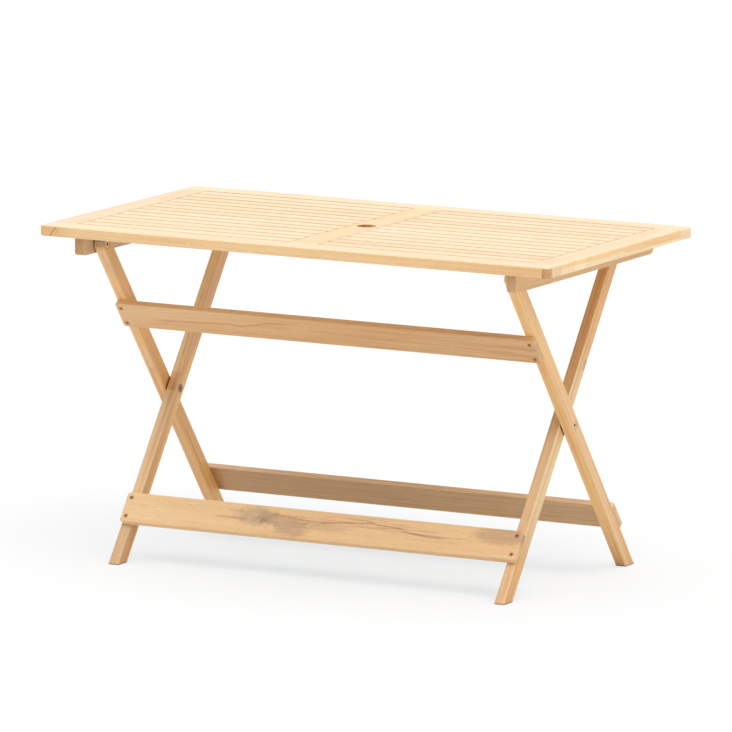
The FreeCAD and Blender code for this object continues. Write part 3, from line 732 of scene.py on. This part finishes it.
def make_leg(leg, other, inwards):
    """Makes a leg; other is the one that it crosses, to its right if inwards is 1."""
    seed, colour, sides, own_marks = LEG_LOOKS[leg]
    up_leg, front = lean(leg)
    other_front = lean(other)[1]
    other_tilt = (other_front.dot(up_leg), other_front.dot(front))
    leg_middle = sum(reach(leg, up_leg)) / 2
    front_middle = sum(reach(leg, front)) / 2
    cross_x = JOINTS["leg_fold"].dot(up_leg) - leg_middle
    pin_x = top_pin(leg).dot(up_leg) - leg_middle

    def leg_marks(x, y, z, place, look):
        """Fine lines, the leg's own marks, painted contact shade at the end of its foot, and painted shade at its
        joints.
        """
        lines = noise(place, (2.2, 270.0, 270.0), 3.0)
        look = tinted(look, smooth(lines, 0.51, 0.66), (0.89, 0.80, 0.72))
        look = tinted(look, 1 - smooth(lines, 0.34, 0.50), (1.07, 1.09, 1.11))
        look = own_marks(x, y, z, place, look)
        height = (x + leg_middle) * up_leg.z + (z + front_middle) * front.z
        # Painted contact shade at the bottom of the foot, where it meets the floor.
        look = tinted(look, 1 - smooth(height, *FOOT_SHADE_RISE), (0.36, 0.34, 0.34))
        return joint_shade(x, y, z, look, cross_x, pin_x, other_tilt, inwards)

    timber(leg, up_leg, front, seed, colour, sides, pith=(0.0, -0.05), marks=leg_marks)


for side, inwards in (("left", 1), ("right", -1)):
    outer_leg = side + "_outer_leg"
    inner_leg = side + "_inner_leg"
    make_leg(outer_leg, inner_leg, inwards)
    make_leg(inner_leg, outer_leg, -inwards)

# ---------------------------------------------------------------- stretchers
# Three boards that join the legs of a pair: two across the outer pair and one across the front
# of the inner pair. Each end has two coated screws, sunk below the face in drilled recesses.

RECESS_RADIUS = 0.00385
RECESS_DEPTH = 0.0030
STAIN_RADIUS = 0.0075
SCREW_SPREAD = 0.022
STRETCHER_END = seen(229, 191, 144)
# Paler walls for the upper stretcher's recesses: painted light, so that the shade in them reads faint.
LIT_WALL = (0.90, 0.84, 0.78)
DARK_WALL = (0.58, 0.46, 0.36)


def recess_walls(x, y, screw_x, look, wall_tint):
    """The drilled wood round a sunk screw is darker."""
    away = length(vector(abs(x) - screw_x, abs(y) - SCREW_SPREAD))
    stain = 1 - smooth(away, RECESS_RADIUS + 0.0002, STAIN_RADIUS)
    look = tinted(look, stain, (0.84, 0.76, 0.68))
    wall = 1 - smooth(away, RECESS_RADIUS - 0.0002, RECESS_RADIUS + 0.0003)
    return tinted(look, wall, wall_tint)


def upper_marks(x, y, z, place, look):
    """Browner to the right with dark bands, a wavy line in the left half, fine lines low down."""
    look = tinted(look, smooth(x, -0.45, 0.45), (0.90, 0.87, 0.86))
    wavy_line = (
        (-0.420, 0.006), (-0.228, -0.003), (-0.205, 0.001), (-0.131, -0.016), (-0.061, -0.020),
    )
    look = tinted(look, streak(x, y, wavy_line, 0.0038, place), (0.82, 0.70, 0.62))
    lines = smooth(noise(place, (7.0, 320.0, 320.0)), 0.50, 0.64) * smooth(y, 0.004, 0.020)
    look = tinted(look, lines * 0.7, (0.86, 0.78, 0.70))
    bands = smooth(noise(place, (3.0, 110.0, 110.0), 3.0), 0.46, 0.66) * smooth(x, -0.10, 0.25)
    return tinted(look, bands * 0.8, (0.88, 0.79, 0.72))


def back_marks(x, y, z, place, look):
    """Grey-brown to the left, with many fine dark lines, and speckled painted shade on its left end beside the
    leg.
    """
    look = tinted(look, 1 - smooth(x, -0.30, 0.40), (0.92, 0.875, 0.84))
    lines = smooth(noise(place, (4.0, 290.0, 290.0), 3.0), 0.46, 0.60) * smooth(x, -0.70, 0.10)
    look = tinted(look, lines * 0.9, (0.84, 0.77, 0.70))
    # Speckled painted shade beside the left leg.
    leg_shade = (1 - smooth(x, -0.470, -0.444)) * noise(place, (200.0, 200.0, 200.0), 3.0) * 1.3
    leg_shade = leg_shade * smooth(z, 0.002, 0.006)
    return tinted(look, leg_shade, (0.62, 0.52, 0.43))


def smoky_knot(x, y, place, look, speckle):
    """A grey knot left of the middle, dark and pale inside, with a tail of lines on its left."""
    knot = spot(x, y, (-0.152, -0.008), (0.060, 0.028), place, 0.5)
    look = tinted(look, knot * (speckle * 1.2 + 0.35), (0.70, 0.70, 0.79))
    look = tinted(look, spot(x, y, (-0.136, 0.001), (0.012, 0.008), place), (0.80, 0.74, 0.76))
    look = tinted(look, spot(x, y, (-0.158, -0.012), (0.009, 0.006), place), (1.10, 1.14, 1.16))
    left_tail = ((-0.250, 0.0015), (-0.235, 0.000), (-0.205, 0.0005), (-0.170, 0.002))
    look = tinted(look, streak(x, y, left_tail, 0.0040, place), (0.76, 0.66, 0.68))
    short_tail = ((-0.222, -0.0155), (-0.185, -0.0170))
    return tinted(look, streak(x, y, short_tail, 0.0030, place), (0.84, 0.82, 0.84))


def dark_threads(x, y, place, look, threads):
    """Smoke to the right of the knot, and a bundle of dark threads with two cracks in it."""
    smoke = spot(x, y, (-0.062, 0.014), (0.055, 0.022), place, 0.5)
    smoke = smoke + spot(x, y, (-0.090, -0.004), (0.080, 0.018), place, 0.5)
    smoke = smoke + spot(x, y, (0.015, 0.002), (0.070, 0.012), place, 0.5) * 0.6
    look = tinted(look, smoke * (threads + 0.40), (0.70, 0.67, 0.73))
    upper_line = ((-0.150, -0.020), (-0.080, -0.013), (-0.020, -0.008), (0.030, -0.012))
    bundle_line = (
        (-0.080, -0.006), (0.005, -0.008), (0.060, -0.013), (0.117, -0.0166), (0.160, -0.013),
        (0.203, -0.010), (0.258, -0.006), (0.330, -0.004), (0.400, -0.006),
    )
    look = tinted(look, streak(x, y, upper_line, 0.0030, place), (0.84, 0.75, 0.76))
    bundle = streak(x, y, bundle_line, 0.0220, place) * smooth(threads, 0.50, 0.66)
    look = tinted(look, bundle, (0.70, 0.59, 0.56))
    long_crack = (
        (-0.010, -0.0060), (0.045, -0.0115), (0.085, -0.0145), (0.117, -0.0166),
        (0.160, -0.0135), (0.215, -0.0110),
    )
    look = tinted(look, streak(x, y, long_crack, 0.0032, place), (0.66, 0.54, 0.52))
    short_crack = ((0.185, -0.007), (0.215, -0.004), (0.258, 0.0020), (0.300, 0.0015))
    return tinted(look, streak(x, y, short_crack, 0.0030, place), (0.74, 0.62, 0.60))


def front_marks(x, y, z, place, look):
    """Browner to the right, the knot and its threads, a grey patch and a pale fleck."""
    look = tinted(look, smooth(x, -0.40, 0.45), (0.94, 0.91, 0.88))
    speckle = noise(place, (330.0, 330.0, 330.0), 3.0)
    threads = noise(place, (9.0, 360.0, 360.0), 3.0)
    look = smoky_knot(x, y, place, look, speckle)
    look = dark_threads(x, y, place, look, threads)

    patch = spot(x, y, (0.425, -0.018), (0.085, 0.027), place, 0.22)
    look = tinted(look, patch * (threads * 1.2 + 0.45), (0.72, 0.69, 0.72))
    look = tinted(look, patch * smooth(speckle, 0.52, 0.70), (0.86, 0.82, 0.82))
    fleck = spot(x, y, (-0.387, -0.003), (0.006, 0.002), place, 0.2)
    return tinted(look, fleck, (1.10, 1.16, 1.26))


def stretcher(name, leg, side, body, seed, colour, coat, marks, knots=(), wall=DARK_WALL):
    """Makes a board across a pair of legs and sets its screws in their recesses.

    leg is the left one of the pair, and side is 1 where the board lies on the fronts of the legs.
    coat is the screws' metal, and wall the tint of the drilled wood round them.
    """
    front = lean(leg)[1]
    across = ALONG_X.cross(front)
    outwards = front * side
    screw_x = abs(middle(leg).x)

    def board_marks(x, y, z, place, look):
        return recess_walls(x, y, screw_x, marks(x, y, z, place, look), wall)

    # The narrow sides are paler than the faces: painted light on the lower edge, which looks down and gets little
    # light.
    timber(
        name, ALONG_X, front, seed, colour, scaled(colour, 1.10, 1.14, 1.18), STRETCHER_END,
        pith=(0.0, -0.04), knots=knots, marks=board_marks,
    )
    seat = outwards * (reach(name, outwards)[1] - RECESS_DEPTH)
    seat = seat + across * (sum(reach(name, across)) / 2)
    spots = [
        seat + ALONG_X * (screw_x * end) + across * (SCREW_SPREAD * step)
        for end in (-1, 1)
        for step in (-1, 1)
    ]
    set_screws(name + "_screws", body, flat_head, spots, outwards, coat)


bronze = metal("bronzed_steel", seen(176, 136, 98), 0.45)
# A paler copy of the bronze for the upper stretcher's screws: painted light against the shade of their recesses.
lit_bronze = metal("worn_bronzed_steel", seen(222, 186, 146), 0.55)
flat_head = screw_head(radius=0.0036, height=0.0018, rounding=0.0003)
stretcher(
    "upper_stretcher", "left_outer_leg", 1, "outer_frame", 121.0, seen(242, 198, 145),
    lit_bronze, upper_marks, wall=LIT_WALL,
)
stretcher(
    "back_stretcher", "left_outer_leg", -1, "outer_frame", 127.7, seen(233, 198, 154),
    bronze, back_marks,
)
stretcher(
    "front_stretcher", "left_inner_leg", 1, "inner_frame", 131.0, seen(241, 203, 151),
    bronze, front_marks, knots=((-0.152, -0.008, 0.036), (0.12, -0.022, 0.014)),
)

remove(flat_head)

# ---------------------------------------------------------------- catch bar
# A round bar turned from the same wood, with its ends glued into blind holes in the tops of the
# inner legs. On the standing table it seats in the notches of the catch blocks.

timber("catch_bar", ALONG_X, UP, 141.0, FRAME_WOOD)

# ---------------------------------------------------------------- pivot hardware
# Bolts with flat heads and hexagon sockets, threaded brass inserts in the bearers, and sleeves
# and thin washers between the legs. Grease, dust and painted shade darken the sockets.

SOCKET_DIRT_AND_SHADE = (0.0029, 0.0050)
BOLT_SHADE_RIM = (0.0052, 0.0062)
BOLT_SHADE_EDGE = (0.011, 0.013)


def socket_dirt_and_shade(here):
    """Dirt and painted shade inside the sockets, and painted shade over the left bolt of the cross pivot."""
    x = here.node("ShaderNodeSeparateXYZ", {}, {0: here})
    y = Wire(here.tree, x.socket.node.outputs[1])
    z = Wire(here.tree, x.socket.node.outputs[2])
    dirt_and_shade = 0.0
    for name, pivot in JOINTS.items():
        away = length(vector(y - pivot.y, z - pivot.z))
        # Dirt and painted shade in each socket.
        dirt_and_shade = dirt_and_shade + (1 - smooth(away, *SOCKET_DIRT_AND_SHADE))
        if name == "leg_fold":
            # Painted shade over the left bolt of the cross pivot.
            ragged = away + (noise(here, (150.0, 150.0, 150.0)) - 0.5) * 0.004
            bolt_shade = (smooth(ragged, *BOLT_SHADE_RIM) + 1) * 0.5 * (1 - smooth(away, *BOLT_SHADE_EDGE))
            dirt_and_shade = dirt_and_shade + bolt_shade * (1 - smooth(x, -0.01, 0.01))
    return dirt_and_shade


bolt_steel = metal("bolt_steel", seen(236, 214, 184), 0.42, socket_dirt_and_shade)
brass = metal("turned_brass", seen(214, 178, 104), 0.24)
for node in ("left_pivot_bolt", "right_pivot_bolt", "cross_sleeves", "cross_bolts"):
    finish_node(node, bolt_steel)
for node in ("pivot_washers", "cross_washers"):
    finish_node(node, steel)
finish_node("pivot_inserts", brass)

# ---------------------------------------------------------------- floor, light and camera
# A wide white studio floor. To the camera it glows just enough to look white, and it keeps the
# table's soft shadow. The world is white to look at, and as light it is a weak fill.

FLOOR_SHADE = (0.367, 0.310, 0.281, 1)
FLOOR_GLOW = (0.576, 0.647, 0.683, 1)
FILL_LIGHT = 0.24

bpy.ops.object.select_all(action="DESELECT")
bpy.ops.mesh.primitive_plane_add(size=80.0, location=(0, 0, 0))
floor = bpy.context.object
floor.name = "floor"
material, start, shader = new_material("white_floor")
shader.inputs["Base Color"].default_value = (0.80, 0.80, 0.80, 1)
shader.inputs["Roughness"].default_value = 1.0
shader.inputs["Specular IOR Level"].default_value = 0.0
camera_ray = start.node("ShaderNodeLightPath", output=0)
plain = Wire(start.tree, shader.outputs[0])
shadowed = start.node("ShaderNodeBsdfDiffuse", {}, {0: FLOOR_SHADE})
glow = start.node("ShaderNodeEmission", {}, {0: FLOOR_GLOW, 1: 1.0})
shown = start.node("ShaderNodeAddShader", {}, {0: shadowed, 1: glow})
surface = start.node("ShaderNodeMixShader", {}, {0: camera_ray, 1: plain, 2: shown})
start.tree.links.new(surface.socket, start.tree.nodes["Material Output"].inputs[0])
floor.data.materials.append(material)

world = bpy.data.worlds.new("studio")
bpy.context.scene.world = world
world.use_nodes = True
tree = world.node_tree
tree.nodes.clear()
start = Wire(tree)
camera_ray = start.node("ShaderNodeLightPath", output=0)
glossy_ray = Wire(tree, camera_ray.socket.node.outputs["Is Glossy Ray"])
white = start.node("ShaderNodeBackground", {}, {0: (1, 1, 1, 1), 1: 1.0})
fill = start.node("ShaderNodeBackground", {}, {0: (1, 1, 1, 1), 1: FILL_LIGHT})
looked_at = start.maths("MAXIMUM", camera_ray, glossy_ray)
background = start.node("ShaderNodeMixShader", {}, {0: looked_at, 1: fill, 2: white})
start.node("ShaderNodeOutputWorld", {}, {0: background})


def add_sun(name, place, strength, angle):
    """A lamp so far off that its light is even; place is where it stands, seen from the table."""
    bpy.ops.object.light_add(type="SUN", location=place)
    lamp = bpy.context.object
    lamp.name = name
    lamp.data.energy = strength * math.pi
    lamp.data.angle = math.radians(angle)
    lamp.rotation_euler = Vector(place).to_track_quat("Z", "Y").to_euler()


add_sun("top_light", (0.0, 0.0, 1.0), 0.76, 90)
add_sun("front_light", (0.42, -0.35, 0.65), 0.28, 50)
add_sun("right_light", (1.0, -0.1, 0.35), 0.11, 70)

azimuth = math.radians(26.96)
elevation = math.radians(9.117)
roll = math.radians(0.633)
target = Vector((0.0, 0.0051, 0.4284))
distance = 20.0247
turn = (
    Matrix.Rotation(azimuth, 4, "Z")
    @ Matrix.Rotation(math.pi / 2 - elevation, 4, "X")
    @ Matrix.Rotation(roll, 4, "Z")
)
lens = bpy.data.cameras.new("camera")
lens.sensor_width = 36.0
lens.lens = 463.0
lens.clip_end = 200.0
camera = bpy.data.objects.new("camera", lens)
bpy.context.scene.collection.objects.link(camera)
camera.matrix_world = Matrix.Translation(target + turn @ Vector((0, 0, distance))) @ turn
bpy.context.scene.camera = camera
bpy.context.scene.view_settings.view_transform = "Standard"
